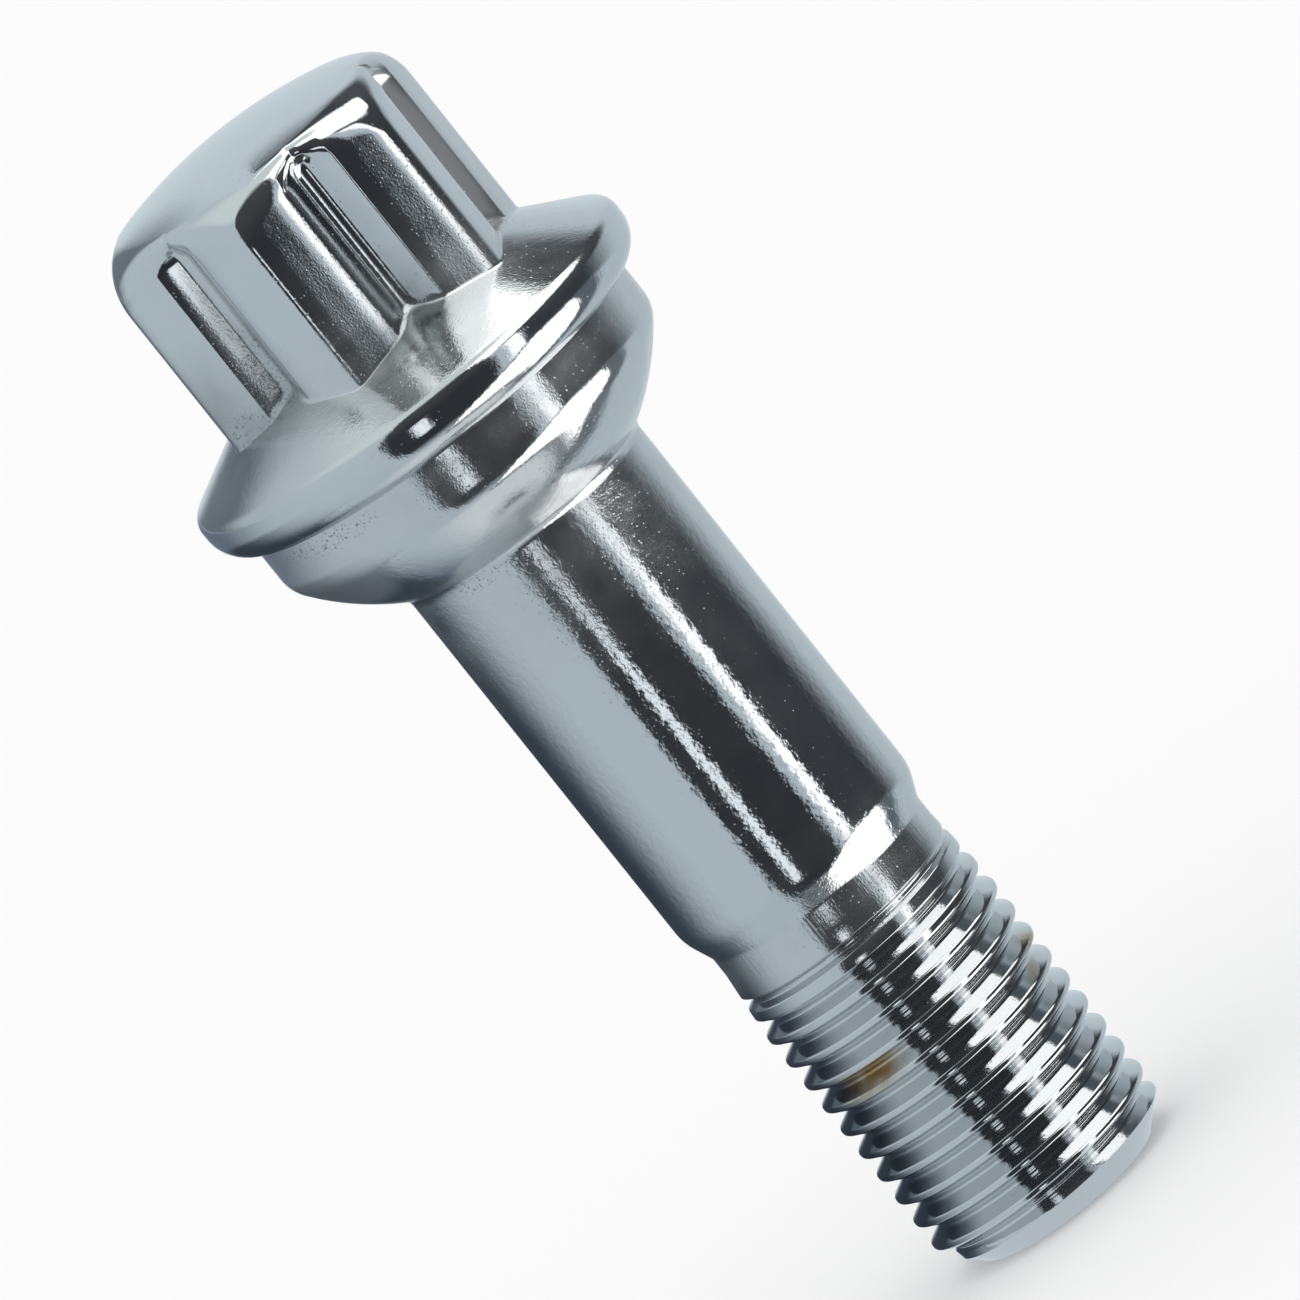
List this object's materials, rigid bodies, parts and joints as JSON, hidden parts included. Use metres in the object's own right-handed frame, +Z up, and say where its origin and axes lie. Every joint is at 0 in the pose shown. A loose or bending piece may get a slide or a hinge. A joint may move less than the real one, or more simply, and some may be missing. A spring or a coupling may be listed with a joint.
{
  "type": "wheel bolt",
  "caption": "Chrome-plated ball-seat wheel bolt with a crowned, grooved hexagon head, a coned flange, a plain shank and a rolled thread; it clamps a car wheel to its hub.",
  "frame": {"origin": "centre of the flat face at the thread's end, where the bolt stands", "axes": "+Z up the bolt's axis from the thread to the head; -Y is the front, with one flat of the hexagon 15 degrees to its right"},
  "size_m": [0.0266, 0.0266, 0.0693],
  "materials": {
    "chrome": "bright chrome plating over forged steel, with a light grain and a rolled thread"
  },
  "bodies": {
    "root": {"wheel_bolt": "chrome"}
  },
  "joints": []
}
